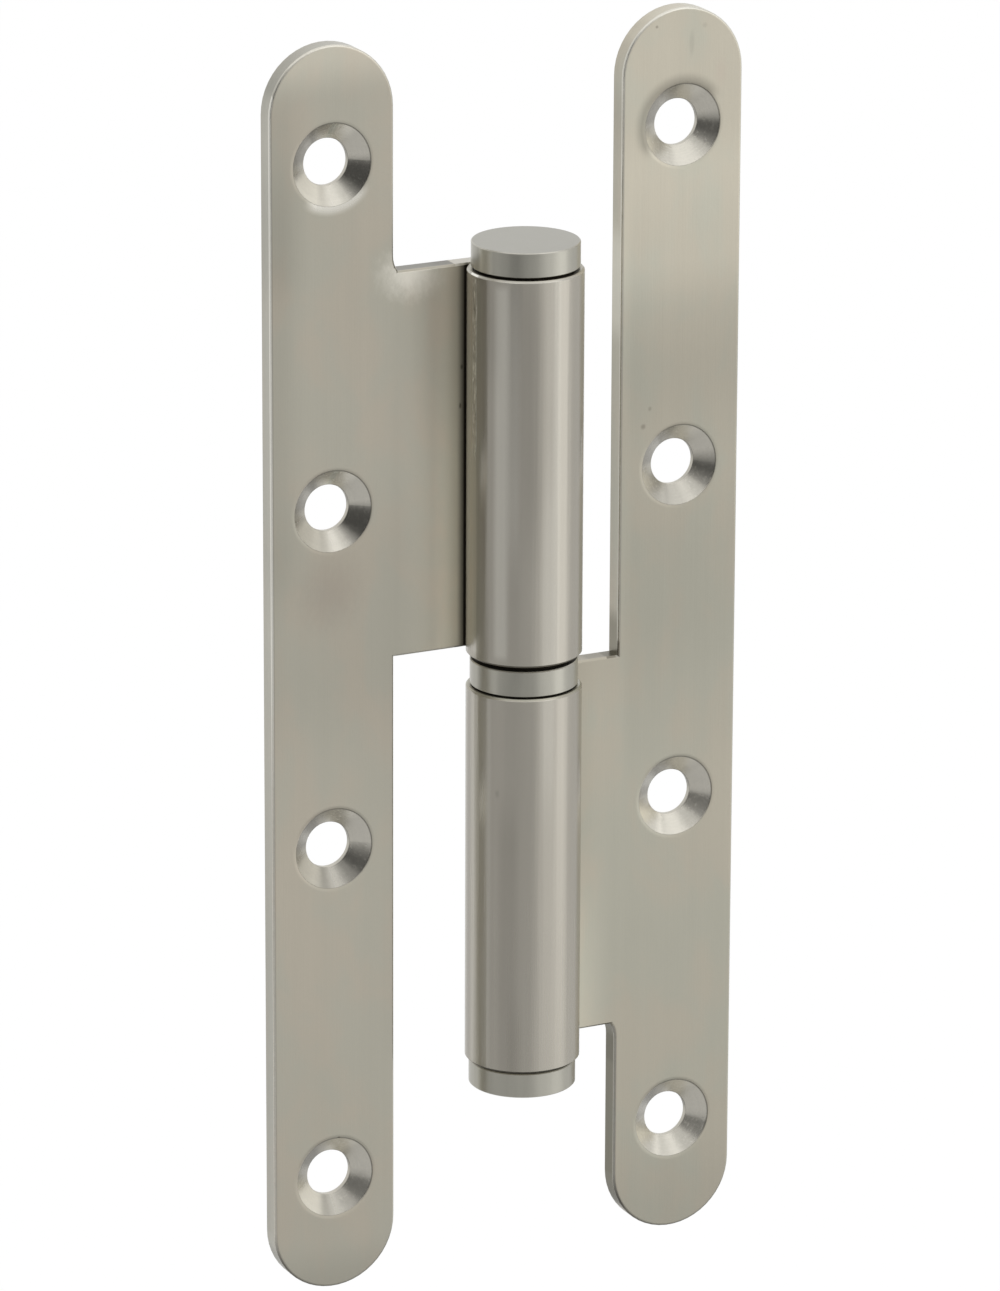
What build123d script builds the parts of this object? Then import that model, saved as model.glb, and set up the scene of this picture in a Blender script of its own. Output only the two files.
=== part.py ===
from build123d import *
import math
import os

# A lift-off hinge of satin stainless sheet, in millimetres. The pin stands along Z with the ring between
# the knuckles at mid height. The knuckles stand proud of the leaves towards -Y, the side that the screws
# enter, and the backs of the leaves lie in one plane at the back of the barrels. The door leaf is on -X
# with the upper knuckle, the frame leaf on +X with the lower one.

# The leaf's flat blank
leaf_height = 160.0
strip_width = 16.5
strip_to_pin = 15.5
sheet = 2.5
front_round = 0.35
corner_rise = 2.0
corner_reach = 0.6

# Four countersunk screw holes, evenly spaced up the strip
hole_count = 4
hole_pitch = 43.5
hole_d = 5.9
countersink_d = 10.4
countersink_angle = 100.0

# The knuckle, rolled from the blank round the pin
pin_d = 9.3
pin_clearance = 0.05
knuckle_length = 49.0
rim_break = 0.25
seam_gap = 0.15
seam_round = 0.3

# The pin's ends
pin_reach = 32.0
pin_nose = 1.5

# The ring that the upper knuckle turns on
ring_height = 4.1
ring_d = 13.4
ring_face_d = 11.6
ring_relief_top = 0.65
ring_relief_foot = 0.15
ring_break = 0.12

# The caps in the open ends
cap_height = 3.4
cap_d = 13.4
cap_face_d = 11.6
cap_relief = 0.25
cap_break = 0.12
spigot_length = 5.0
spigot_lead = 0.5

# Worked out from the sizes above
bore_r = pin_d / 2 + pin_clearance
barrel_r = bore_r + sheet
back_y = barrel_r
front_y = back_y - sheet
knuckle_bottom = ring_height / 2
knuckle_top = knuckle_bottom + knuckle_length
strip_x = -(strip_to_pin + strip_width / 2)
strip_edge_x = -strip_to_pin
hole_heights = [(n - (hole_count - 1) / 2) * hole_pitch for n in range(hole_count)]
seam_angle = 180 - math.degrees(math.asin((front_y - seam_gap) / barrel_r))

# How far one piece of the blank is carried into the next before they are joined
overlap = 1.0


def nearest(items, *target):
    """The item whose middle lies closest to a point."""
    return min(items, key=lambda item: (item.center() - Vector(*target)).length)


def strip_outline():
    """The round-ended strip, with the small flare where its edge runs into the top of the arm."""
    strip = Pos(strip_x, 0) * SlotOverall(leaf_height, strip_width, rotation=90)
    high = (strip_edge_x, knuckle_top + corner_rise)
    low = (strip_edge_x + corner_reach, knuckle_top)
    flare = TangentArc(high, low, tangent=(0, -1))
    flare += Polyline(low, (low[0], low[1] - overlap), (high[0] - overlap, low[1] - overlap),
                      (high[0] - overlap, high[1]), high)
    return strip + make_face(flare)


def strip():
    """The strip as a plate, its front edges rounded by polishing."""
    face = Plane((0, back_y, 0), x_dir=(1, 0, 0), z_dir=(0, -1, 0)) * strip_outline()
    plate = extrude(face, amount=sheet)
    front_face = nearest(plate.faces().filter_by(Axis.Y), strip_x, front_y, 0)
    return fillet(front_face.outer_wire().edges(), front_round)


def rolled_profile():
    """The sheet edge on: flat arm, once round the pin from behind, and back to the arm's front face."""
    root_x = strip_edge_x - overlap
    sweep = 360 - seam_angle + 90
    turn = math.radians(seam_angle)
    outer_end = Vector(barrel_r * math.cos(turn), barrel_r * math.sin(turn))
    inner_end = Vector(bore_r * math.cos(turn), bore_r * math.sin(turn))
    edge = Line((root_x, back_y), (0, back_y))
    edge += CenterArc((0, 0), barrel_r, 90, -sweep)
    edge += Line(outer_end, inner_end)
    edge += CenterArc((0, 0), bore_r, 90 - sweep, sweep)
    edge += Polyline((0, front_y), (root_x, front_y), (root_x, back_y))
    face = make_face(edge)
    return fillet(nearest(face.vertices(), outer_end.X, outer_end.Y, 0), seam_round)


def rolled_knuckle():
    """Arm and knuckle as one extrusion, with the sharp edges broken all round both ends."""
    roll = extrude(Pos(0, 0, knuckle_bottom) * rolled_profile(), amount=knuckle_length)
    ends = roll.faces().filter_by(Axis.Z)
    root_x = strip_edge_x - overlap
    rims = [edge for face in ends for edge in face.edges() if edge.center().X > root_x + overlap / 2]
    return chamfer(rims, rim_break)


def screw_hole(height):
    """The tool for one hole: a straight neck at the back and a cone that opens to the front."""
    neck_r = hole_d / 2
    slope = math.tan(math.radians(countersink_angle / 2))
    depth = (countersink_d - hole_d) / 2 / slope
    past = 1.0
    mouth_r = countersink_d / 2 + past * slope
    outline = Polyline((0, -past), (mouth_r, -past), (neck_r, depth), (neck_r, sheet + past),
                       (0, sheet + past), close=True)
    tool = revolve(make_face(outline), Axis.Y)
    return Pos(strip_x, front_y, height) * tool


def leaf():
    """One half of the hinge as it leaves the press: strip, arm and rolled knuckle in a single sheet."""
    body = strip() + rolled_knuckle()
    for height in hole_heights:
        body -= screw_hole(height)
    return body


def turned(outline):
    """A turned piece from its half section, radius first and height second, standing along Z."""
    return revolve(Plane.XZ * make_face(outline), Axis.Z)


def hinge_pin():
    """Tight in the lower knuckle, where it stands on the cap's spigot, and free above it."""
    foot = -(knuckle_top - spigot_length)
    shoulder = -knuckle_bottom
    tip = knuckle_bottom + pin_reach
    outline = Polyline((0, foot), (bore_r, foot), (bore_r, shoulder), (pin_d / 2, shoulder),
                       (pin_d / 2, tip - pin_nose), (pin_d / 2 - pin_nose, tip), (0, tip), close=True)
    return turned(outline)


def bearing_ring():
    """A ring with a raised thrust face at each end, narrower than its rim and higher at the top."""
    inner_r = bore_r
    face_r = ring_face_d / 2
    rim_r = ring_d / 2
    half = ring_height / 2
    low = ring_relief_foot - half
    high = half - ring_relief_top
    outline = Polyline((inner_r, -half), (face_r, -half), (face_r, low), (rim_r - ring_break, low),
                       (rim_r, low + ring_break), (rim_r, high - ring_break), (rim_r - ring_break, high),
                       (face_r, high), (face_r, half), (inner_r, half), close=True)
    return turned(outline)


def cap():
    """The top cap: a flat disc on a narrower seat, with a spigot pressed into the knuckle's bore."""
    seat = knuckle_top
    under = seat + cap_relief
    top = seat + cap_height
    rim_r = cap_d / 2
    face_r = cap_face_d / 2
    foot = seat - spigot_length
    outline = Polyline((0, foot), (bore_r - spigot_lead, foot), (bore_r, foot + spigot_lead), (bore_r, seat),
                       (face_r, seat), (face_r, under), (rim_r - cap_break, under),
                       (rim_r, under + cap_break), (rim_r, top - cap_break), (rim_r - cap_break, top),
                       (0, top), close=True)
    return turned(outline)


def other_half(piece):
    """The matching piece of the lower half: the same one, turned half round about Y."""
    return Rot(0, 180, 0) * piece


door_leaf = leaf()
top_cap = cap()
pieces = {
    "door_leaf": door_leaf,
    "frame_leaf": other_half(door_leaf),
    "hinge_pin": hinge_pin(),
    "bearing_ring": bearing_ring(),
    "top_cap": top_cap,
    "bottom_cap": other_half(top_cap),
}

os.makedirs("parts", exist_ok=True)
for name, piece in pieces.items():
    export_step(piece, f"parts/{name}.step")
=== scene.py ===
"""Finish and stage of a lift-off paumelle hinge, laid out as an add-on and run as a script."""

import math

import bpy
import numpy as np
from bpy.props import FloatProperty, FloatVectorProperty, PointerProperty
from bpy.types import Operator, Panel, PropertyGroup
from mathutils import Matrix, Vector

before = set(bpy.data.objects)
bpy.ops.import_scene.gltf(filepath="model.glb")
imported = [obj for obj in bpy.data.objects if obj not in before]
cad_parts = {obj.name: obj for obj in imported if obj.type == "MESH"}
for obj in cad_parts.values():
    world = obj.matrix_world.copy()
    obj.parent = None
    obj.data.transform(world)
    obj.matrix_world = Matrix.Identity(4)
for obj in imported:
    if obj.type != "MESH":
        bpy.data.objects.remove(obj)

bl_info = {
    "name": "Paumelle hinge finish",
    "version": (1, 0, 0),
    "blender": (4, 5, 0),
    "location": "3D View > Sidebar > Paumelle",
    "description": "Satin steel finishes, pale stage and camera for a lift-off paumelle hinge",
    "category": "Material",
}

# Sizes of the hinge that the finishes follow, in millimetres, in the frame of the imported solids.
FRONT = 4.7           # leaves' front face, as depth from the pin's axis
BACK = 7.2            # leaves' back face
BARREL = 7.2          # outside radius of the rolled knuckles
STRIP_X = 23.75       # strip's middle line from the pin's axis
STRIP_EDGE_X = 15.5   # strip's inner edge
PITCH = 43.5          # screw holes
NECK = 2.95           # radius of a screw hole's neck
CONE = 5.2            # radius of a countersink at the front face
CONE_FOOT = 6.59      # depth where a countersink ends in the neck
FRONT_ROUND = 0.35    # rounding of the strip's front edges
RIM_BREAK = 0.25      # chamfer at the ends of the knuckles
BORE = 4.9            # just outside the radius of the knuckles' bore
ROLL_ENDS = (2.05, 51.05)
SEAM = (-5.6, 4.62)   # where the roll's free edge meets the arm
RING_WALL = (-1.90, 1.40)
RING_FACE = 2.05      # height of the ring's thrust faces
CAP_WALL = (51.30, 54.45)
TURNED_R = 6.7        # radius of the caps and the ring

DEGREES = 180.0 / math.pi    # in one radian
WHITE = (1.0, 1.0, 1.0, 1.0)

# How deep the finest relief of a finish goes, in millimetres.
LEAF_RELIEF = 0.012
TURNED_RELIEF = 0.010

# Bright and dull flecks of the polishing line on the upper knuckle.
BRIGHT_FLECK = (0.95, 0.93, 0.85)
DULL_FLECK = (0.12, 0.11, 0.085)

# The studio, in metres. Radii are measured from the pin's axis, heights from its middle.
FLOOR_WIDTH = 8.0
SIDE_RADIUS, SIDE_FOOT, SIDE_HEIGHT = 0.80, -0.44, 1.50
STAND_RADIUS, STAND_FOOT, STAND_HEIGHT = 0.79, -0.16, 0.80
LOW_RADIUS, LOW_LEVEL, LOW_MIDDLE, LOW_GLOW = 0.75, -0.445, (-0.10, -0.15), 0.58
SENSOR = 36.0         # the camera's, in millimetres


def colour(name, text, value):
    return FloatVectorProperty(name=name, description=text, default=value, size=3, min=0.0, max=1.0,
                               subtype="COLOR")


def fraction(name, text, value):
    return FloatProperty(name=name, description=text, default=value, min=0.0, max=1.0, subtype="FACTOR")


class PaumelleFinish(PropertyGroup):
    """Colours and finish of the steel parts."""

    leaf_steel: colour("Door leaf steel", "Brushed sheet of the leaf that is fixed to the door",
                       (0.418, 0.389, 0.325))
    frame_steel: colour("Frame leaf steel", "Brushed sheet of the leaf that is fixed to the frame",
                        (0.413, 0.389, 0.323))
    roll_steel: colour("Roll steel", "Polished outside of the rolled knuckles", (0.445, 0.420, 0.365))
    # Painted highlight: the pale tone of the strip's front edges, the rolls' rims and the turned parts'
    # corners.
    edge_highlight: colour("Worn edge", "Sheet where edges are rubbed bright", (0.620, 0.600, 0.540))
    turned_steel: colour("Turned steel", "Caps and ring", (0.436, 0.424, 0.370))
    ground_steel: colour("Ground steel", "Pin", (0.470, 0.468, 0.450))
    cut_steel: colour("Cut steel", "Countersinks", (0.604, 0.580, 0.514))
    # Painted shade and grime: the dark tone of the seam, the bore, the rolls' end corners and the steps
    # behind the turned walls.
    gap_shade_and_grime: colour("Grime", "Dark film in gaps, seam and pits", (0.040, 0.034, 0.026))
    satin: fraction("Satin roughness", "Roughness of the brushed sheet", 0.34)
    # Painted light: how much paler the arms are painted.
    arm_gain: fraction("Arm's gain", "How much paler the sheet is on the arms", 0.34)
    cut: fraction("Cut roughness", "Roughness of the countersinks", 0.24)
    turned: fraction("Turned roughness", "Roughness of the caps and the ring", 0.30)
    ground: fraction("Ground roughness", "Roughness of the pin", 0.22)


class PaumelleStage(PropertyGroup):
    """Floor, light and camera."""

    floor_drop: FloatProperty(name="Floor drop", description="Depth of the floor under the pin's middle",
                              default=0.45, unit="LENGTH")
    azimuth: FloatProperty(name="Azimuth", description="Camera's turn about the pin's axis",
                           default=math.radians(-26.229), subtype="ANGLE")
    elevation: FloatProperty(name="Elevation", description="Camera's height angle",
                             default=math.radians(17.630), subtype="ANGLE")
    roll: FloatProperty(name="Roll", description="Camera's roll",
                        default=math.radians(0.228), subtype="ANGLE")
    distance: FloatProperty(name="Distance", description="Camera's distance from the pin's middle",
                            default=0.9592, unit="LENGTH")
    aside: FloatVectorProperty(name="Aside", description="How far the pin's middle stands to the right of "
                               "the picture's middle and above it",
                               default=(0.002942, -0.002604), size=2, unit="LENGTH")
    lens: FloatProperty(name="Lens", description="Focal length for a 36 mm tall picture, in millimetres",
                        default=216.453)


class Wire:
    """One value on its way through a material. Arithmetic signs add its Math nodes."""

    def __init__(self, bench, socket):
        self.bench, self.socket = bench, socket

    def math(self, operation, *values):
        sockets = {i: v for i, v in enumerate((self,) + values)}
        return self.bench.put("ShaderNodeMath", {"operation": operation}, sockets)

    def swapped(self, operation, value):
        return self.bench.put("ShaderNodeMath", {"operation": operation}, {0: value, 1: self})

    def __add__(self, v):
        return self.math("ADD", v)

    def __sub__(self, v):
        return self.math("SUBTRACT", v)

    def __mul__(self, v):
        return self.math("MULTIPLY", v)

    def __truediv__(self, v):
        return self.math("DIVIDE", v)

    def __pow__(self, v):
        return self.math("POWER", v)

    def __rsub__(self, v):
        return self.swapped("SUBTRACT", v)

    def __rtruediv__(self, v):
        return self.swapped("DIVIDE", v)

    def __neg__(self):
        return self.math("MULTIPLY", -1.0)

    def __abs__(self):
        return self.math("ABSOLUTE")

    __radd__ = __add__
    __rmul__ = __mul__

    def rise(self, low, high):
        """0 below low, 1 above high and smooth between them. With low above high it falls instead."""
        if low > high:
            return 1.0 - self.rise(high, low)
        return self.bench.put("ShaderNodeMapRange", {"interpolation_type": "SMOOTHSTEP"},
                              {0: self, 1: low, 2: high, 3: 0.0, 4: 1.0})

    def near(self, middle, half, soft):
        """1 within half of middle, falling to 0 over soft more."""
        return abs(self - middle).rise(half + soft, half)


class Bench:
    """The nodes of one material, or of the world."""

    def __init__(self, tree):
        self.tree = tree
        tree.nodes.clear()

    def put(self, kind, settings=None, sockets=None, out=0):
        node = self.tree.nodes.new(kind)
        for name, value in (settings or {}).items():
            setattr(node, name, value)
        for key, value in (sockets or {}).items():
            if isinstance(value, Wire):
                self.tree.links.new(value.socket, node.inputs[key])
            else:
                node.inputs[key].default_value = value
        return Wire(self, node.outputs[out]) if node.outputs else None

    def place(self, turned=False):
        """Object coordinates in millimetres, or those of the twin: turned half round about the y axis."""
        p = self.put("ShaderNodeTexCoord", out="Object")
        turn = (0.0, math.pi if turned else 0.0, 0.0)
        return self.put("ShaderNodeMapping", {"vector_type": "POINT"},
                        {"Vector": p, "Rotation": turn, "Scale": (1e3, 1e3, 1e3)})

    def stretch(self, p, x, y, z, shift=(0.0, 0.0, 0.0)):
        """A place multiplied along each axis and shifted."""
        return self.put("ShaderNodeVectorMath", {"operation": "MULTIPLY_ADD"}, {0: p, 1: (x, y, z), 2: shift})

    def join(self, x, y, z):
        return self.put("ShaderNodeCombineXYZ", None, {0: x, 1: y, 2: z})

    def cloud(self, p, detail=2.0, rough=0.5, warp=0.0):
        """Noise of one unit's grain, about 0 to 1."""
        return self.put("ShaderNodeTexNoise", {"noise_dimensions": "3D"},
                        {"Vector": p, "Scale": 1.0, "Detail": detail, "Roughness": rough, "Distortion": warp})

    def tint(self, mask, a, b):
        """Colour a where the mask is 0 and b where it is 1."""
        def rgba(c):
            return c if isinstance(c, Wire) else (*c, 1.0)
        return self.put("ShaderNodeMix", {"data_type": "RGBA", "clamp_factor": True},
                        {0: mask, 6: rgba(a), 7: rgba(b)}, out=2)

    def shade(self, c, value):
        """Colour c made lighter or darker by a value about 1."""
        return self.put("ShaderNodeVectorMath", {"operation": "SCALE"}, {0: c, "Scale": value})

    def metal(self, base, roughness, height, depth):
        """A metal with its colour, its roughness and a bump: height times depth, in millimetres."""
        bump = self.put("ShaderNodeBump", None, {"Strength": 1.0, "Distance": depth * 1e-3, "Height": height})
        body = self.put("ShaderNodeBsdfPrincipled", None,
                        {"Base Color": base, "Roughness": roughness, "Normal": bump, "Metallic": 1.0})
        self.put("ShaderNodeOutputMaterial", None, {"Surface": body})


def material(name):
    made = bpy.data.materials.new(name)
    made.use_nodes = True
    return made, Bench(made.node_tree)


def dress(node, made):
    """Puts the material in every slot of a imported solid."""
    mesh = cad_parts[node].data
    if not mesh.materials:
        mesh.materials.append(made)
    for i in range(len(mesh.materials)):
        mesh.materials[i] = made


def split(bench, p):
    """The three coordinates of a place."""
    node = bench.put("ShaderNodeSeparateXYZ", None, {0: p})
    outputs = node.socket.node.outputs
    return [Wire(bench, outputs[i]) for i in range(3)]


def leaf_finish(name, steel, style, turned, seed, marks):
    """Brushed sheet with cut countersinks, rolled knuckle, seam, edges and small marks, and with painted
    light and shade.

    All is worked out in the door leaf's own place: strip on -x, knuckle above, front towards -y.
    """
    made, b = material(name)
    p = b.place(turned)
    x, y, z = split(b, p)
    drift = (seed, seed * 1.7, seed * 2.3)
    below, above = ROLL_ENDS

    # Distance from the nearest screw hole's middle line, and the cone cut there.
    up = (z - PITCH / 2).math("WRAP", PITCH / 2, -PITCH / 2)
    off = ((x + STRIP_X) ** 2.0 + up ** 2.0) ** 0.5
    cone = off.rise(CONE + 0.03, CONE - 0.03) * off.rise(NECK, NECK + 0.05)
    cone = cone * y.rise(FRONT + 0.01, FRONT + 0.05) * y.rise(CONE_FOOT + 0.04, CONE_FOOT)
    neck = off.rise(NECK + 0.06, NECK + 0.02)
    # Angle about the hole, clockwise from the top as the hinge stands, and about the pin from the front.
    side = -1.0 if turned else 1.0
    clock = ((x + STRIP_X) * side).math("ARCTAN2", up * side) * DEGREES
    turn = x.math("ARCTAN2", -y) * DEGREES
    # Distance from the pin's axis: the roll's outside, the corners of its ends and its hidden bore.
    rho = (x ** 2.0 + y ** 2.0) ** 0.5
    roll = rho.near(BARREL, 0.05, 0.06) * y.rise(BACK - 0.1, BACK - 0.3)
    rim = rho.rise(BARREL - RIM_BREAK + 0.01, BARREL - RIM_BREAK + 0.05)
    rim = rim * x.rise(-BARREL - 0.1, -BARREL + 0.1)
    near_end = z.rise(below + RIM_BREAK + 0.02, below + RIM_BREAK - 0.02) * rim
    far_end = z.rise(above - RIM_BREAK - 0.02, above - RIM_BREAK + 0.02) * rim
    bore = rho.rise(BORE + 0.1, BORE - 0.1)
    # Front face, rounded front edges and the cut wall behind them.
    front = y.near(FRONT, 0.02, 0.02) * x.rise(SEAM[0] + 0.2, SEAM[0])
    away = off.rise(CONE + 0.4, CONE + 0.6) * x.rise(-BARREL, -BARREL - 0.2)
    edge = y.rise(FRONT + 0.015, FRONT + 0.05) * away
    edge = edge * y.rise(FRONT + FRONT_ROUND + 0.07, FRONT + FRONT_ROUND - 0.05)
    cut = y.rise(FRONT + FRONT_ROUND - 0.01, FRONT + FRONT_ROUND + 0.09) * away
    cut = cut * y.rise(BACK - 0.02, BACK - 0.06)
    strip = x.rise(0.4 - STRIP_EDGE_X, 0.2 - STRIP_EDGE_X)
    # Distance from the seam, where the roll's free edge closes on the arm.
    seam = ((x - SEAM[0]) ** 2.0 + (y - SEAM[1]) ** 2.0) ** 0.5

    # Noises from broad drift to fine grain, in cells per millimetre across, through and along the leaf.
    broad = b.cloud(b.stretch(p, 0.040, 0.040, 0.016, drift), 2.0, 0.5, 0.4)
    patch = b.cloud(b.stretch(p, 0.13, 0.13, 0.07, drift), 3.0, 0.55, 0.3)
    bands = b.cloud(b.stretch(p, 0.55, 0.55, 0.012, drift), 2.0, 0.6)
    lines = b.cloud(b.stretch(p, 4.2, 4.2, 0.045, drift), 3.0, 0.6)
    hair = b.cloud(b.stretch(p, 11.0, 11.0, 0.30, drift), 2.0, 0.5)
    grain = b.cloud(b.stretch(p, 5.0, 5.0, 3.0, drift), 2.0, 0.6)
    bite = b.cloud(b.stretch(p, 1.6, 1.6, 0.9, drift), 3.0, 0.7)
    nick = b.cloud(b.stretch(p, 2.6, 2.6, 2.2, drift), 2.0, 0.6)

    # Sheet in patches of a cooler and a warmer steel, and greyer on the door leaf's cut walls.
    value = 1.0 + (broad - 0.5) * 0.14 + (patch - 0.5) * 0.07
    value = value + (lines - 0.5) * 0.035 + (grain - 0.5) * 0.03 + (bands - 0.5) * (0.05 + roll * 0.05)
    cool = [c * k for c, k in zip(steel, (0.975, 1.005, 1.01))]
    warm = [c * k for c, k in zip(steel, (1.045, 0.990, 0.965))]
    mixed = b.tint(patch.rise(0.40, 0.62) * 0.5, cool, warm)
    grey = sum(steel) / len(steel)
    mixed = b.tint(cut * (0.0 if turned else 0.6), mixed, (grey * 1.01, grey, grey * 0.90))
    base = b.shade(b.tint(roll, mixed, style.roll_steel[:]), value)
    rough = style.satin + (broad - 0.5) * 0.08 + (lines - 0.5) * 0.06 - roll * 0.08

    # The arm next to the roll is left rougher by the press, and painted paler: painted light where the roll
    # darkens its reflection.
    arm = front * x.rise(-STRIP_EDGE_X, -9.0)
    arm = arm * z.rise(below - 0.5, below + 0.5) * z.rise(above + 0.5, above - 0.5)
    base = b.shade(base, 1.0 + arm * style.arm_gain)
    rough = rough + arm * 0.24
    # Countersink: bright cut steel with fine rings, paler and duller where the tool bit unevenly, and painted
    # light and shade at set angles about the hole.
    rings = b.cloud(b.join(off * 7.0, up * 0.04, seed), 2.0, 0.6)
    fresh = b.shade(style.cut_steel[:], 1.0 + (rings - 0.5) * 0.10 + (nick - 0.5) * 0.12)
    base = b.tint(cone, base, fresh)
    rough = rough + cone * (style.cut + (bite - 0.5) * 0.10 - rough)
    cone_light_and_shade = around(clock, -57.0, 20.0, 22.0) * -0.40 + around(clock, 14.0, 10.0, 22.0) * 0.42
    cone_light_and_shade = cone_light_and_shade + around(clock, 62.0, 20.0, 20.0) * 0.08 + around(clock, -132.0, 22.0, 12.0) * 0.20
    base = b.shade(base, 1.0 + cone * cone_light_and_shade)
    base = b.tint(neck * 0.75, base, style.cut_steel[:])
    # Painted shade: a thin dark line round the upper right of each mouth, and the neck darker at its top.
    mouth_shade = off.near(CONE - 0.02, 0.05, 0.06) * around(clock, 45.0, 62.0, 30.0)
    mouth_shade = mouth_shade * y.rise(FRONT + 0.5, FRONT + 0.3)
    base = b.shade(base, 1.0 - mouth_shade * 0.50 - neck * around(clock, 10.0, 60.0, 30.0) * 0.45)
    # Painted highlight on the strip's front edges. The cut wall behind is darker along the arm: painted
    # shade.
    base = b.tint(edge * strip * (0.70 + (bite - 0.5) * 0.8), base, style.edge_highlight[:])
    rough = rough - edge * strip * 0.12
    plain = (strip - 1.0) * 0.28 - (bite - 0.5) * 0.12 + y.rise(BACK - 0.3, FRONT + 0.2) * 0.05
    base = b.shade(base, 1.0 + cut * plain)
    # Painted highlight on the rim at the roll's far end.
    base = b.tint(far_end * 0.6, base, style.edge_highlight[:])

    # Fine brushing along the leaf, and then the marks, which find their places and masks by name.
    height = (lines - 0.5) * 0.5 + (hair - 0.5) * 0.35 + (bite - 0.5) * (0.6 - roll * 0.5)
    height = height * (1.0 - cone)
    at = {"x": x, "z": z, "off": off, "clock": clock, "turn": turn, "front": front, "edge": edge,
          "cut": cut, "skin": front + edge + cut, "arm": arm, "roll": roll, "cone": cone,
          "near_end": near_end, "far_end": far_end, "bite": bite}
    for mark in marks:
        base, rough, height = mark(b, at, base, rough, height)
    # Painted shade and grime in the seam and in the bore.
    shading = seam.rise(0.55, 0.12) * 0.8 + seam.rise(1.5, 0.35) * front * 0.8
    base = b.tint(shading.math("MAXIMUM", bore * 0.55), base, style.gap_shade_and_grime[:])

    # Rings in the cones, the rounded mouth of each countersink, and soft flats up the roll.
    mouth = off.rise(CONE + 0.55, CONE - 0.1)
    height = height + (rings * 0.25 + nick.rise(0.60, 0.70) * 0.5) * cone - mouth ** 2.0 * front * 4.5
    height = height + (bands - 0.5) * roll * 5.0
    b.metal(base, rough, height, LEAF_RELIEF)
    return made


def around(angle, middle, half, soft):
    """1 within half of a middle angle, falling to 0 over soft more, in degrees all the way round."""
    return (angle - middle).math("WRAP", 180.0, -180.0).near(0.0, half, soft)


def spot(middle, size, tone, strength, fade=0.25):
    """A soft blot on the front face: a bell over the distance from a point, frayed by noise."""
    def mark(b, at, base, rough, height):
        aside, up = (at["x"] - middle[0]) / size[0], (at["z"] - middle[1]) / size[1]
        far = (aside ** 2.0 + up ** 2.0) ** 0.5
        blot = (far + (at["bite"] - 0.5) * 0.5).rise(1.0, fade) * at["front"] * strength
        return b.tint(blot, base, tone), rough, height
    return mark


def streak(turn, width, low, high, tone, strength, fade=1.5):
    """A band up the roll at an angle about the pin, from one height to another, fading at both."""
    def mark(b, at, base, rough, height):
        band = at["turn"].near(turn, width * 0.4, width) * at["roll"]
        band = band * at["z"].rise(low, low + fade) * at["z"].rise(high, high - fade)
        return b.tint(band * strength, base, tone), rough, height
    return mark


def chatter(turn, half, low, high):
    """A ragged polishing line up the roll: bright and dull flecks where drawn-out noise is high and low."""
    def mark(b, at, base, rough, height):
        fleck = b.cloud(b.join(at["turn"] * 0.30, at["z"] * 0.50, 3.0), 4.0, 0.80)
        band = at["turn"].near(turn, half, 1.5) * at["roll"]
        band = band * at["z"].rise(low, low + 6.0) * at["z"].rise(high, high - 0.8)
        base = b.tint(band * fleck.rise(0.51, 0.61), base, BRIGHT_FLECK)
        base = b.tint(band * fleck.rise(0.45, 0.35) * 0.55, base, DULL_FLECK)
        return base, rough + band * 0.08, height + band * fleck * 4.0
    return mark


def sweep(where, axis, low, high, gain, inside=None):
    """Painted light where gain is above 0 and painted shade where it is below: a slow change of tone over one
    part of the leaf, from none at low to gain at high.

    inside gives the x from which it begins and the x where it is in full.
    """
    def mark(b, at, base, rough, height):
        share = at[axis].rise(low, high) * at[where]
        if inside:
            share = share * at["x"].rise(*inside)
        return b.shade(base, 1.0 + share * gain), rough, height
    return mark


def belt(middle, half, soft, gain, inside=None):
    """Painted light where gain is above 0 and painted shade where it is below: a slow change of tone across
    the leaf at one height.
    """
    def mark(b, at, base, rough, height):
        share = at["z"].near(middle, half, soft) * at["skin"]
        if inside:
            share = share * at["x"].rise(*inside)
        return b.shade(base, 1.0 + share * gain), rough, height
    return mark


def shade_and_soil(where, tone, strength):
    """Painted shade and grime on one narrow part, such as the corner of the roll's end."""
    def mark(b, at, base, rough, height):
        return b.tint(at[where] * strength, base, tone), rough + at[where] * 0.3, height
    return mark


def between(z, low, high):
    """1 from one height to another, falling to 0 over 1 mm beyond them."""
    return z.near((low + high) / 2, (high - low) / 2, 1.0)


def lip(low, high, reach, depth, tone):
    """A countersink's lower lip, worn down, with a painted highlight: falls towards the hole over reach."""
    def mark(b, at, base, rough, height):
        under = around(at["clock"], 170.0, 30.0, 24.0) * between(at["z"], low, high)
        painted_light = at["off"].rise(CONE + reach, CONE + 0.1) * under * at["front"]
        return b.tint(painted_light * 0.85, base, tone), rough - painted_light * 0.08, height - painted_light * depth
    return mark


def hole_light_and_shade(where, low, high, middle, half, gain, reach=None, tooth=0.0):
    """Painted light where gain is above 0 and painted shade where it is below, at some clock angles of one
    hole: on its cone, or on the face round it over reach.
    """
    def mark(b, at, base, rough, height):
        share = around(at["clock"], middle, half, 24.0) * at[where] * between(at["z"], low, high)
        if reach:
            share = share * at["off"].rise(CONE + reach, CONE)
        return b.shade(base, 1.0 + share * gain), rough + share * tooth, height
    return mark


def box_tint(where, box, tone, strength):
    """An edge or a corner tinted to a paler or a darker tone inside a box, strongest in its middle: mostly a
    painted highlight where paler and painted shade where darker.
    """
    def mark(b, at, base, rough, height):
        share = at[where]
        for axis, (low, high, soft) in box.items():
            share = share * at[axis].near((low + high) / 2, (high - low) / 2, soft)
        return b.tint(share * strength, base, tone), rough, height
    return mark


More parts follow.
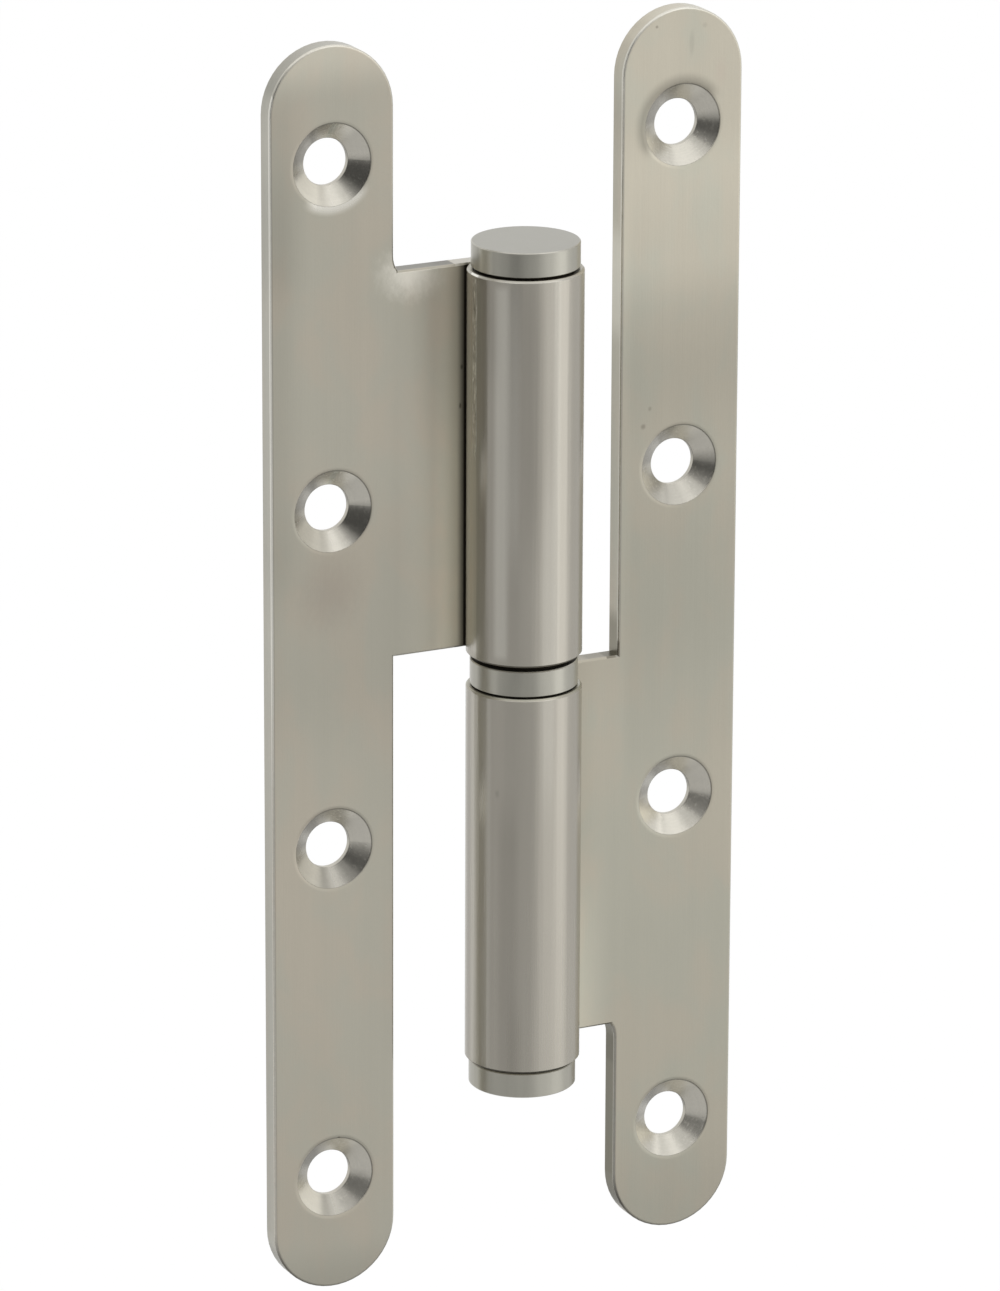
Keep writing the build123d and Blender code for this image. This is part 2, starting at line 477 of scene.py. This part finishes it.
class PAUMELLE_OT_leaves(Operator):
    """Finishes the door leaf and the frame leaf as brushed sheet"""

    bl_idname = "paumelle.leaves"
    bl_label = "Leaves"

    def execute(self, context):
        style = context.scene.paumelle_finish
        # Tones of the marks: pale for painted reflections up the roll; dark for pits, specks, a scratch and
        # painted shade; brown for a stain.
        pale, dark, brown = (0.66, 0.64, 0.57), (0.10, 0.088, 0.070), (0.33, 0.292, 0.245)
        gap_shade_and_grime = style.gap_shade_and_grime[:]
        # Places that several marks share: the arm's cut walls, the strip's inner one and the rolls' length.
        arm_x, arm_top, arm_foot = (-15.0, -6.0, 1.0), (50.7, 51.5, 0.3), (1.6, 2.4, 0.3)
        inner, inner_back, by_inner = (-16.5, -14.0, 0.5), (-16.4, -14.0, 0.3), (-17.5, -16.5)
        door_roll, frame_roll = (2.3, 51.0), (1.5, 51.5)
        door_marks = (
            # Painted light and shade: slow changes of tone up the strip, on the arm and on the cut walls.
            sweep("skin", "z", 73.0, 79.5, 0.30),
            belt(62.0, 8.0, 8.0, -0.10, (-26.0, -31.0)),
            sweep("skin", "z", -73.0, -80.0, -0.14),
            belt(38.0, 20.0, 12.0, -0.10, (-27.0, -31.0)),
            belt(8.0, 6.0, 14.0, -0.06),
            sweep("arm", "z", 50.0, 12.0, 0.36),
            sweep("arm", "x", -10.6, -7.8, 0.34),
            sweep("cut", "x", -24.0, -31.0, 0.03),
            sweep("cut", "z", -35.0, 20.0, 0.30, (-31.2, -31.9)),
            sweep("skin", "z", 0.0, -30.0, 0.07),
            # Painted highlights on the strip's left edge and on the roll's upper rim, and painted shade on
            # the lower edges, the arm's top walls and the cut walls near the top.
            box_tint("edge", {"x": (-33.0, -31.55, 0.1), "z": (8.0, 72.0, 30.0)}, (1.0, 0.98, 0.90), 0.66),
            box_tint("edge", {"z": (-84.0, -76.0, 5.0)}, dark, 0.75),
            box_tint("far_end", {"turn": (-93.0, -82.0, 3.0)}, (1.0, 0.99, 0.92), 1.0),
            box_tint("cut", {"x": arm_x, "z": arm_top}, dark, 0.30),
            box_tint("cut", {"x": (-9.0, -6.0, 1.5), "z": arm_top}, dark, 0.30),
            sweep("cut", "z", 68.0, 78.0, -0.16),
            # Pale and dark bands up the roll, which are painted reflections, and the ragged line beside the
            # seam.
            streak(-101.0, 7.0, *door_roll, dark, 0.12),
            streak(-86.0, 4.5, *door_roll, pale, 0.34),
            streak(-79.0, 8.0, *door_roll, pale, 0.45),
            streak(-73.0, 6.0, -12.0, 24.0, pale, 0.32, fade=14.0),
            chatter(-85.5, 3.2, 26.0, 50.8),
            streak(-50.0, 7.5, 2.3, 50.9, pale, 0.58),
            streak(-60.0, 9.0, 34.0, 60.0, dark, 0.12, fade=10.0),
            streak(-38.5, 7.0, 10.0, 60.0, pale, 0.34, fade=14.0),
            streak(-2.0, 7.0, -16.0, 34.0, pale, 0.24, fade=18.0),
            streak(6.5, 4.5, -2.0, 60.0, pale, 0.20, fade=4.0),
            streak(-17.0, 11.0, 10.0, 60.0, dark, 0.17, fade=16.0),
            # A painted highlight on the arm's upper corner, two pits beside the seam, the brown bloom between
            # the holes, and painted shade and grime at the roll's foot.
            spot((-12.8, 50.8), (6.2, 4.6), (0.92, 0.89, 0.80), 0.62, 0.0),
            spot((-6.35, 38.0), (0.24, 0.45), dark, 0.5),
            spot((-6.55, 33.1), (0.22, 0.55), dark, 0.55),
            spot((-24.2, 11.5), (6.0, 7.0), brown, 0.55, 0.0),
            shade_and_soil("near_end", gap_shade_and_grime, 0.55),
            # The topmost countersink's worn lip with a painted highlight, painted light and shade on single
            # countersinks, and a speck.
            lip(58.0, 66.0, 1.3, 9.0, (0.66, 0.64, 0.58)),
            hole_light_and_shade("cone", 15.0, 72.0, 117.0, 15.0, -0.58),
            hole_light_and_shade("cone", -29.0, -14.0, 135.0, 10.0, -0.40),
            hole_light_and_shade("cone", 15.0, 72.0, -4.0, 8.0, 0.24),
            hole_light_and_shade("cone", -72.0, -58.0, -178.0, 8.0, -0.25),
            hole_light_and_shade("cone", -29.0, -14.0, 180.0, 12.0, -0.28),
            hole_light_and_shade("cone", -72.0, 72.0, -142.0, 22.0, 0.11, tooth=0.30),
            spot((-23.2, -60.1), (0.26, 0.24), dark, 0.8),
        )
        frame_marks = (
            # Painted light and shade: slow changes of tone up the strip and on the arm. Heights and sides are
            # those of the twin.
            sweep("skin", "z", -34.0, -50.0, 0.22),
            belt(-41.0, 8.0, 12.0, -0.07, (-15.4, -17.5)),
            belt(0.0, 9.0, 14.0, -0.06, (-15.4, -17.5)),
            sweep("skin", "z", -4.0, 12.0, 0.08),
            sweep("skin", "z", 60.0, 76.0, -0.04),
            sweep("skin", "z", 66.0, 80.0, -0.06),
            belt(-54.0, 5.0, 8.0, 0.09),
            sweep("cut", "z", -66.0, -76.0, 0.14),
            sweep("arm", "z", 40.0, 22.0, -0.15),
            sweep("arm", "z", 30.0, 48.0, 0.12),
            # Painted light and shade on single countersinks, and a ring of painted shade on the face round
            # the topmost one.
            hole_light_and_shade("front", -75.0, -57.0, -35.0, 75.0, -0.38, 1.7),
            hole_light_and_shade("cone", 58.0, 72.0, -140.0, 30.0, -0.14),
            hole_light_and_shade("cone", -72.0, -14.0, 98.0, 6.0, -0.40),
            hole_light_and_shade("cone", -72.0, 72.0, 132.0, 10.0, 0.32),
            hole_light_and_shade("cone", -29.0, -14.0, -150.0, 34.0, -0.24),
            hole_light_and_shade("cone", -72.0, 72.0, 8.0, 20.0, -0.14),
            # Edges and cut walls: painted shade on the lower edges, the inner edge's corner by the arm, the
            # arm's top walls and the inner wall's back, a painted highlight on the upper edges, and dark
            # patches where the inner wall meets the arm.
            box_tint("edge", {"z": (76.0, 84.0, 5.0)}, dark, 0.75),
            box_tint("edge", {"z": (-84.0, -71.0, 3.0)}, (0.80, 0.78, 0.70), 0.55),
            box_tint("edge", {"x": (-16.6, -14.0, 0.1), "z": (0.5, 3.5, 0.6)}, dark, 0.6),
            box_tint("cut", {"x": arm_x, "z": arm_foot}, dark, 0.08),
            box_tint("cut", {"x": (-15.0, -11.8, 1.0), "z": arm_foot}, dark, 0.32),
            box_tint("cut", {"x": inner_back, "z": (-60.0, 0.0, 20.0)}, dark, 0.18),
            box_tint("cut", {"x": inner_back, "z": (-1.5, 4.0, 3.0)}, (0.11, 0.105, 0.075), 0.55),
            # Specks, a rubbed line and a brown stain near the strip's upper end.
            spot((-20.07, -77.9), (0.30, 0.30), dark, 0.45),
            spot((-26.7, -77.5), (0.55, 0.45), dark, 0.12),
            spot((-24.9, -75.4), (0.50, 2.2), dark, 0.12),
            spot((-29.0, -71.4), (1.3, 2.8), (0.50, 0.43, 0.36), 0.35, 0.0),
            # The strip's inner wall: painted light above the arm with a darker band near the top, and painted
            # shade, dark olive, below it.
            sweep("cut", "z", -60.0, -70.0, -0.10, by_inner),
            sweep("cut", "z", -56.0, -48.0, 0.20, by_inner),
            box_tint("cut", {"x": inner, "z": (-50.0, -41.5, 4.0)}, (0.66, 0.64, 0.56), 0.50),
            sweep("cut", "z", 49.0, 51.5, -0.64, by_inner),
            box_tint("cut", {"x": inner, "z": (52.0, 82.0, 2.0)}, (0.20, 0.19, 0.13), 0.35),
            box_tint("cut", {"x": inner, "z": (50.5, 56.0, 1.0)}, (0.10, 0.092, 0.066), 0.35),
            sweep("edge", "z", 49.0, 51.5, -0.40, by_inner),
            # Specks beside the second countersink from the top.
            spot((-18.7, -27.3), (0.45, 0.50), dark, 0.38),
            spot((-19.6, -29.5), (0.35, 0.40), dark, 0.28),
            # A short scratch, and pale and dark bands up the roll, which are painted reflections.
            streak(53.0, 2.2, 13.7, 15.2, dark, 0.7),
            streak(100.0, 8.0, *frame_roll, dark, 0.19),
            streak(34.0, 8.0, 38.0, 60.0, dark, 0.11, fade=10.0),
            streak(69.0, 8.0, *frame_roll, pale, 0.45),
            streak(75.0, 5.0, *frame_roll, pale, 0.20),
            streak(82.0, 8.0, *frame_roll, pale, 0.36),
            streak(42.0, 10.0, 12.0, 64.0, dark, 0.14, fade=10.0),
            streak(2.0, 7.0, -20.0, 22.0, pale, 0.24, fade=16.0),
            # The chamfers at the roll's two ends: a painted highlight on the near one, and painted shade and
            # grime on the far one.
            sweep("near_end", "z", 3.0, 2.0, 0.12),
            shade_and_soil("far_end", gap_shade_and_grime, 0.9),
        )
        dress("door_leaf", leaf_finish("Door leaf steel", style.leaf_steel[:], style,
                                       turned=False, seed=3.1, marks=door_marks))
        dress("frame_leaf", leaf_finish("Frame leaf steel", style.frame_steel[:], style,
                                        turned=True, seed=8.7, marks=frame_marks))
        return {"FINISHED"}


def turned_finish(name, steel, roughness, style, seed, wall=None, twin=False):
    """Turned steel: fine rings round the axis, painted highlights on the corners, and painted shade and grime
    behind the wall.

    wall gives the lower and upper height of the piece's widest wall. twin puts the piece below as well.
    """
    made, b = material(name)
    p = b.place()
    x, y, z = split(b, p)
    rho = (x ** 2.0 + y ** 2.0) ** 0.5
    turn = x.math("ARCTAN2", -y) * DEGREES
    rings = b.cloud(b.join(rho * 7.0, z * 7.0, seed), 3.0, 0.6)
    patch = b.cloud(b.stretch(p, 0.30, 0.30, 0.30, (seed, seed, seed)), 3.0, 0.6)
    bands = b.cloud(b.stretch(p, 0.60, 0.60, 0.05, (seed, 0.0, 0.0)), 3.0, 0.6)
    grain = b.cloud(b.stretch(p, 6.0, 6.0, 6.0), 2.0, 0.6)
    bite = b.cloud(b.stretch(p, 1.3, 1.3, 1.3, (seed, 0.0, 0.0)), 3.0, 0.65)
    value = 1.0 + (rings - 0.5) * 0.05 + (patch - 0.5) * 0.10 + (grain - 0.5) * 0.04
    base = b.shade(steel, value)
    rough = roughness + (patch - 0.5) * 0.08
    if wall:
        low, high = wall
        at = abs(z) if twin else z
        # Painted light and shade round the wall with random bands, painted highlights on the corners, painted
        # shade and grime on the step behind the wall, and painted shade on the end face.
        painted_light = -around(turn, -30.0, 16.0, 16.0) * (z.rise(-50.0, 0.0) * 0.15 - 0.03)
        if twin:
            painted_light = painted_light + around(turn, -74.0, 5.0, 8.0) * (z.rise(40.0, 50.0) * 0.44 + 0.16)
        else:
            painted_light = painted_light + around(turn, -66.0, 7.0, 8.0) * 0.20 - around(turn, -79.0, 3.0, 5.0) * 0.14
        wall_skin = rho.rise(TURNED_R - 0.05, TURNED_R - 0.02)
        base = b.shade(base, 1.0 + wall_skin * (painted_light + (bands - 0.5) * 0.22))
        skin = rho.rise(TURNED_R - 0.16, TURNED_R - 0.13)
        corner = skin * rho.rise(TURNED_R - 0.005, TURNED_R - 0.02) * (0.55 + (bite - 0.5) * 0.9)
        base = b.tint(corner, base, style.edge_highlight[:])
        behind = at.rise(low + 0.01, low - 0.005)
        if not twin:
            behind = behind.math("MAXIMUM", at.rise(high - 0.01, high + 0.005))
            behind = behind * (1.0 - abs(z).rise(RING_FACE - 0.02, RING_FACE - 0.005) * 0.7)
        base = b.tint(behind, base, style.gap_shade_and_grime[:])
        end = at.rise(high - 0.03, high - 0.005) * rho.rise(TURNED_R - 0.10, TURNED_R - 0.14)
        base = b.shade(base, 1.0 - end * 0.19)
        rough = rough + behind * 0.3
    b.metal(base, rough, rings * 0.6 + grain * 0.3 + bite * 0.4, TURNED_RELIEF)
    return made


class PAUMELLE_OT_turned(Operator):
    """Finishes the two caps and the bearing ring as turned steel"""

    bl_idname = "paumelle.turned"
    bl_label = "Caps and ring"

    def execute(self, context):
        style = context.scene.paumelle_finish
        caps = turned_finish("Cap steel", style.turned_steel[:], style.turned, style, 1.3, CAP_WALL, True)
        dress("top_cap", caps)
        dress("bottom_cap", caps)
        ring = turned_finish("Ring steel", style.turned_steel[:], style.turned, style, 4.4, RING_WALL)
        dress("bearing_ring", ring)
        return {"FINISHED"}


class PAUMELLE_OT_pin(Operator):
    """Finishes the pin as ground steel"""

    bl_idname = "paumelle.pin"
    bl_label = "Pin"

    def execute(self, context):
        style = context.scene.paumelle_finish
        dress("hinge_pin", turned_finish("Pin steel", style.ground_steel[:], style.ground, style, 6.2))
        return {"FINISHED"}


def sheet(name, across, along, at):
    """A flat or bent sheet as a grid: at(u, v) gives its points for u and v from 0 to 1."""
    u, v = np.meshgrid(np.linspace(0, 1, across + 1), np.linspace(0, 1, along + 1), indexing="ij")
    points = np.stack(at(u, v), axis=-1).reshape(-1, 3)
    i, j = np.meshgrid(np.arange(across), np.arange(along), indexing="ij")
    a = (i * (along + 1) + j).ravel()
    quads = np.stack([a, a + along + 1, a + along + 2, a + 1], axis=1)
    mesh = bpy.data.meshes.new(name)
    mesh.from_pydata(points.tolist(), [], quads.tolist())
    mesh.update()
    piece = bpy.data.objects.new(name, mesh)
    bpy.context.scene.collection.objects.link(piece)
    return piece


def direction(azimuth, elevation):
    """From the pin's middle to an azimuth, counted from -y towards +x, and a height angle."""
    level = math.cos(elevation)
    return Vector((math.sin(azimuth) * level, -math.cos(azimuth) * level, math.sin(elevation)))


def direct_rays(bench):
    """1 for what the camera, a mirror or glass sees directly, and 0 for all other rays."""
    outputs = bench.put("ShaderNodeLightPath").socket.node.outputs
    seen = [Wire(bench, outputs[n]) for n in ("Is Camera Ray", "Is Glossy Ray", "Is Transmission Ray")]
    return seen[0].math("MAXIMUM", seen[1]).math("MAXIMUM", seen[2])


class PAUMELLE_OT_stage(Operator):
    """Sets up the pale floor, the light and the camera"""

    bl_idname = "paumelle.stage"
    bl_label = "Stage"

    def execute(self, context):
        stage = context.scene.paumelle_stage
        scene = context.scene
        self.floor(stage)
        self.dim_side()
        self.low_card()
        self.lamp("Key lamp", azimuth=54.0, elevation=6.0, distance=0.75, size=(0.54, 0.80), power=0.55)
        self.lamp("Top lamp", azimuth=43.0, elevation=54.0, distance=0.70, size=(0.50, 0.40), power=0.17)
        self.world(scene)
        self.camera(scene, stage)
        scene.view_settings.view_transform = "Standard"
        return {"FINISHED"}

    def floor(self, stage):
        """A square plane at the floor's depth: its width times u and v less a half. Mostly white as seen."""
        def at(u, v):
            return (u - 0.5) * FLOOR_WIDTH, (v - 0.5) * FLOOR_WIDTH, u * 0 - stage.floor_drop
        floor = sheet("Floor", 2, 2, at)
        made, b = material("Floor paper")
        paper = b.put("ShaderNodeBsdfDiffuse", None, {"Color": WHITE})
        glow = b.put("ShaderNodeEmission", None, {"Color": WHITE, "Strength": 1.0})
        lit = b.put("ShaderNodeMixShader", None, {0: 0.75, 1: paper, 2: glow})
        white = b.put("ShaderNodeMixShader", None, {0: direct_rays(b), 1: paper, 2: lit})
        b.put("ShaderNodeOutputMaterial", None, {"Surface": white})
        floor.data.materials.append(made)

    def dim_side(self):
        """Round screens about the pin, by azimuth and height: the camera's dimmer side and a dark stand."""
        def side(u, v):
            """Radius times the sine and cosine of the azimuth, open at the right."""
            turn = np.radians(-180 + 310 * u)
            return SIDE_RADIUS * np.sin(turn), -SIDE_RADIUS * np.cos(turn), SIDE_FOOT + SIDE_HEIGHT * v

        def side_glow(b, x, y, z):
            """White, less a dip round the camera, a smaller one at the right and a fall at the far left."""
            turn = x.math("ARCTAN2", -y) * DEGREES
            near_side = turn.near(-56.0, 45.0, 27.0) * 0.40 + turn.near(95.0, 16.0, 18.0) * 0.22
            return 1.0 - near_side - turn.rise(-100.0, -132.0) * 0.15

        def stand(u, v):
            """A narrow part of the same round, just inside it."""
            turn = np.radians(-61 + 29 * u)
            return STAND_RADIUS * np.sin(turn), -STAND_RADIUS * np.cos(turn), STAND_FOOT + STAND_HEIGHT * v

        def stand_glow(b, x, y, z):
            """Dark in its middle and as light as the dim side at its borders."""
            turn = x.math("ARCTAN2", -y) * DEGREES
            return 0.60 - turn.near(-46.5, 12.0, 2.5) * z.near(0.24, 0.37, 0.03) * 0.43

        self.card(sheet("Dim side", 90, 2, side), side_glow)
        self.card(sheet("Dark stand", 16, 8, stand), stand_glow)

    def low_card(self):
        """A round card just above the floor: points on a disc by radius and turn."""
        def at(u, v):
            turn, reach = 2 * np.pi * u, LOW_RADIUS * v
            x, y = LOW_MIDDLE
            return x + reach * np.cos(turn), y + reach * np.sin(turn), u * 0 + LOW_LEVEL
        self.card(sheet("Low card", 48, 2, at), lambda b, x, y, z: LOW_GLOW)

    def card(self, card, glow):
        """Gives a card its grey glow, in metres of its place, and hides it from all but mirrors."""
        made, b = material(card.name + " cloth")
        x, y, z = split(b, b.put("ShaderNodeTexCoord", out="Object"))
        grey = b.shade(WHITE[:3], glow(b, x, y, z))
        cloth = b.put("ShaderNodeEmission", None, {"Color": grey, "Strength": 1.0})
        b.put("ShaderNodeOutputMaterial", None, {"Surface": cloth})
        card.data.materials.append(made)
        card.visible_camera = card.visible_diffuse = card.visible_shadow = card.visible_transmission = False

    def lamp(self, name, azimuth, elevation, distance, size, power):
        """A soft lamp facing the hinge from an azimuth and an elevation."""
        data = bpy.data.lights.new(name, "AREA")
        data.shape = "RECTANGLE"
        data.size, data.size_y = size
        data.energy = power
        lamp = bpy.data.objects.new(name, data)
        lamp.location = direction(math.radians(azimuth), math.radians(elevation)) * distance
        lamp.rotation_euler = lamp.location.to_track_quat("Z", "Y").to_euler()
        lamp.visible_camera = False
        bpy.context.scene.collection.objects.link(lamp)

    def world(self, scene):
        """A white room: the background, and the even light that falls on the hinge."""
        world = bpy.data.worlds.new("Pale room")
        world.use_nodes = True
        scene.world = world
        b = Bench(world.node_tree)
        sky = b.put("ShaderNodeBackground", None, {"Color": WHITE, "Strength": 1.0})
        b.put("ShaderNodeOutputWorld", None, {"Surface": sky})

    def camera(self, scene, stage):
        """Looks along the photograph's direction, with its axes worked out from the three angles."""
        back = direction(stage.azimuth, stage.elevation)
        level = direction(stage.azimuth + math.pi / 2, 0.0)
        lift = back.cross(level)
        cos, sin = math.cos(stage.roll), math.sin(stage.roll)
        right = level * cos + lift * sin
        up = lift * cos - level * sin
        data = bpy.data.cameras.new("Camera")
        data.lens = stage.lens
        data.sensor_width = SENSOR
        data.clip_start, data.clip_end = 0.05, 30.0
        eye = bpy.data.objects.new("Camera", data)
        turn = Matrix((right, up, back)).transposed().to_4x4()
        stand = back * stage.distance - right * stage.aside[0] - up * stage.aside[1]
        eye.matrix_world = Matrix.Translation(stand) @ turn
        scene.collection.objects.link(eye)
        scene.camera = eye


class PAUMELLE_PT_panel(Panel):
    """Lists the finishes and the stage"""

    bl_idname = "PAUMELLE_PT_panel"
    bl_label = "Paumelle hinge"
    bl_space_type = "VIEW_3D"
    bl_region_type = "UI"
    bl_category = "Paumelle"

    def draw(self, context):
        for piece in STEPS:
            self.layout.operator(piece.bl_idname)
        for group in (context.scene.paumelle_finish, context.scene.paumelle_stage):
            for name in group.__annotations__:
                self.layout.prop(group, name)


STEPS = (PAUMELLE_OT_leaves, PAUMELLE_OT_turned, PAUMELLE_OT_pin, PAUMELLE_OT_stage)
CLASSES = (PaumelleFinish, PaumelleStage) + STEPS + (PAUMELLE_PT_panel,)


def register():
    for made in CLASSES:
        bpy.utils.register_class(made)
    bpy.types.Scene.paumelle_finish = PointerProperty(type=PaumelleFinish)
    bpy.types.Scene.paumelle_stage = PointerProperty(type=PaumelleStage)


def unregister():
    del bpy.types.Scene.paumelle_stage
    del bpy.types.Scene.paumelle_finish
    for made in reversed(CLASSES):
        bpy.utils.unregister_class(made)


def main():
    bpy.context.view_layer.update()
    register()
    bpy.ops.paumelle.leaves()
    bpy.ops.paumelle.turned()
    bpy.ops.paumelle.pin()
    bpy.ops.paumelle.stage()


if __name__ == "__main__":
    main()
